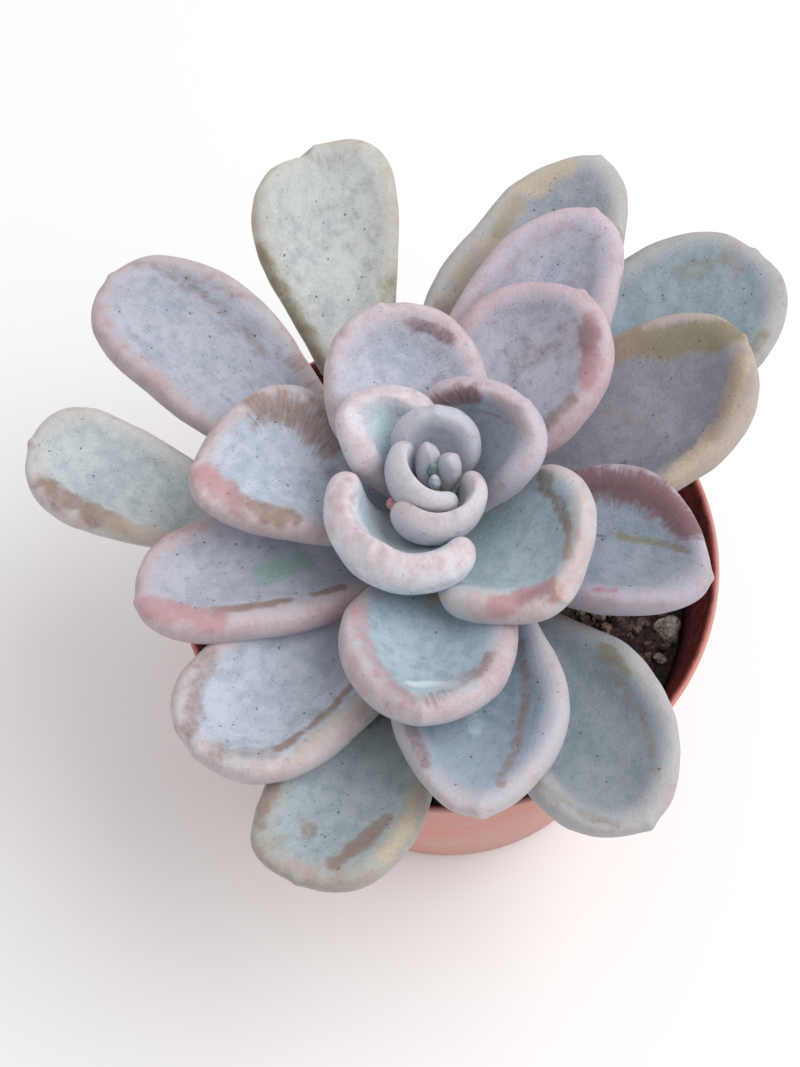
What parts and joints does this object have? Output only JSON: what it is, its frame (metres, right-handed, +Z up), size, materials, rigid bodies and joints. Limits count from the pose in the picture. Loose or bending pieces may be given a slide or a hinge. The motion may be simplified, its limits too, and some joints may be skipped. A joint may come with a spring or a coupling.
{
  "type": "potted rosette succulent",
  "caption": "Small rosette succulent with thick, cupped, powdery grey-blue leaves edged in soft pink, growing in soil in a tapered terracotta-coloured plastic pot.",
  "frame": {"origin": "centre of the pot's base, on the surface that it stands on", "axes": "+Z up along the pot's axis; the view in which the front leaves hang nearest is from -Y, and the longest leaves reach back, towards +Y"},
  "size_m": [0.1247, 0.1285, 0.0982],
  "materials": {
    "pot": "smooth moulded terracotta-coloured plastic, slightly translucent",
    "soil": "dark crumbly potting soil of bark and peat",
    "pumice": "pale porous grains",
    "gravel": "rough brown grains",
    "stem": "olive-brown stem with leaf scars",
    "leaf": "matt, powdery grey-blue bloom over green, with soft pink margins"
  },
  "bodies": {
    "root": {"gravel_2": "gravel", "gravel_3": "gravel", "gravel_5": "gravel", "gravel_6": "gravel", "gravel_8": "gravel", "gravel_9": "gravel", "leaf_01": "leaf", "leaf_02": "leaf", "leaf_03": "leaf", "leaf_04": "leaf", "leaf_05": "leaf", "leaf_06": "leaf", "leaf_07": "leaf", "leaf_08": "leaf", "leaf_09": "leaf", "leaf_10": "leaf", "leaf_11": "leaf", "leaf_12": "leaf", "leaf_13": "leaf", "leaf_14": "leaf", "leaf_15": "leaf", "leaf_16": "leaf", "leaf_17": "leaf", "leaf_18": "leaf", "leaf_19": "leaf", "leaf_20": "leaf", "leaf_21": "leaf", "leaf_22": "leaf", "leaf_23": "leaf", "leaf_24": "leaf", "leaf_25": "leaf", "leaf_26": "leaf", "pot": "pot", "pumice_1": "pumice", "pumice_4": "pumice", "pumice_7": "pumice", "soil": "soil", "stem": "stem"}
  },
  "joints": []
}
